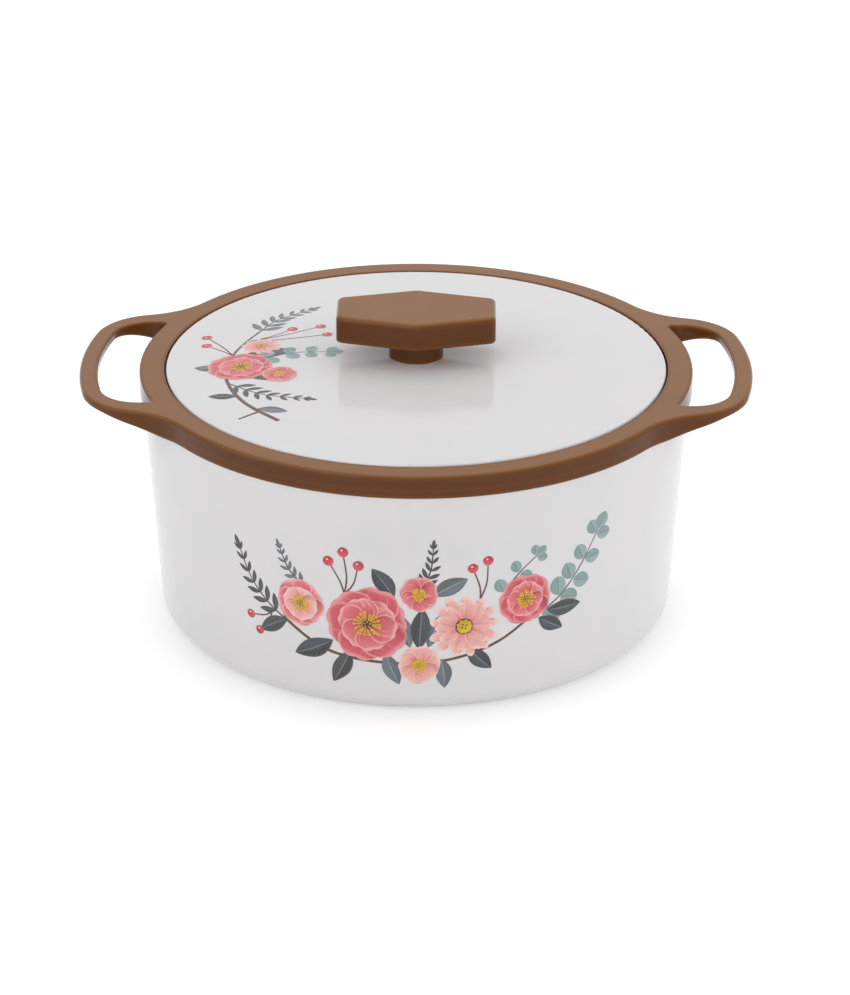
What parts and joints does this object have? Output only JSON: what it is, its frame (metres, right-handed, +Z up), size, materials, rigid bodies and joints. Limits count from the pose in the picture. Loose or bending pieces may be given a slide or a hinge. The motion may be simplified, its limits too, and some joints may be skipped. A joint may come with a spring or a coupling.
{
  "type": "insulated casserole",
  "caption": "Round insulated serving casserole with two loop handles, a steel bowl and a recessed lift-off lid with a knob.",
  "frame": {"origin": "on the table, under the middle of the round base", "axes": "+X through the two handles, +Y towards the back, +Z up"},
  "size_m": [0.3092, 0.254, 0.1454],
  "materials": {
    "white_plastic": "gloss",
    "brown_plastic": "satin",
    "grey_plastic": "matte",
    "bowl_steel": "satin",
    "plated_steel": "satin",
    "silicone": "matte",
    "foam": "matte"
  },
  "bodies": {
    "base": {"outer_shell": "white_plastic", "body_foam": "foam", "inner_bowl": "bowl_steel", "bowl_seal": "silicone", "foam_hole_plug": "grey_plastic", "base_cover": "white_plastic", "handle_ring": "brown_plastic"},
    "lid_seal": {"lid_gasket": "silicone"},
    "lid": {"lid_top": "white_plastic", "lid_frame": "white_plastic", "lid_liner": "bowl_steel", "lid_foam": "foam", "knob_grip": "brown_plastic", "knob_base": "brown_plastic", "knob_washer": "plated_steel", "knob_screw": "plated_steel"}
  },
  "joints": [
    {"name": "lid_lift", "type": "slide", "parent": "base", "child": "lid_seal", "axis": [0, 0, 1], "range_m": [0, 0.12]},
    {"name": "lid_turn", "type": "hinge", "parent": "lid_seal", "child": "lid", "pos_m": [0, 0, 0.1132], "axis": [0, 0, 1], "continuous": true}
  ]
}
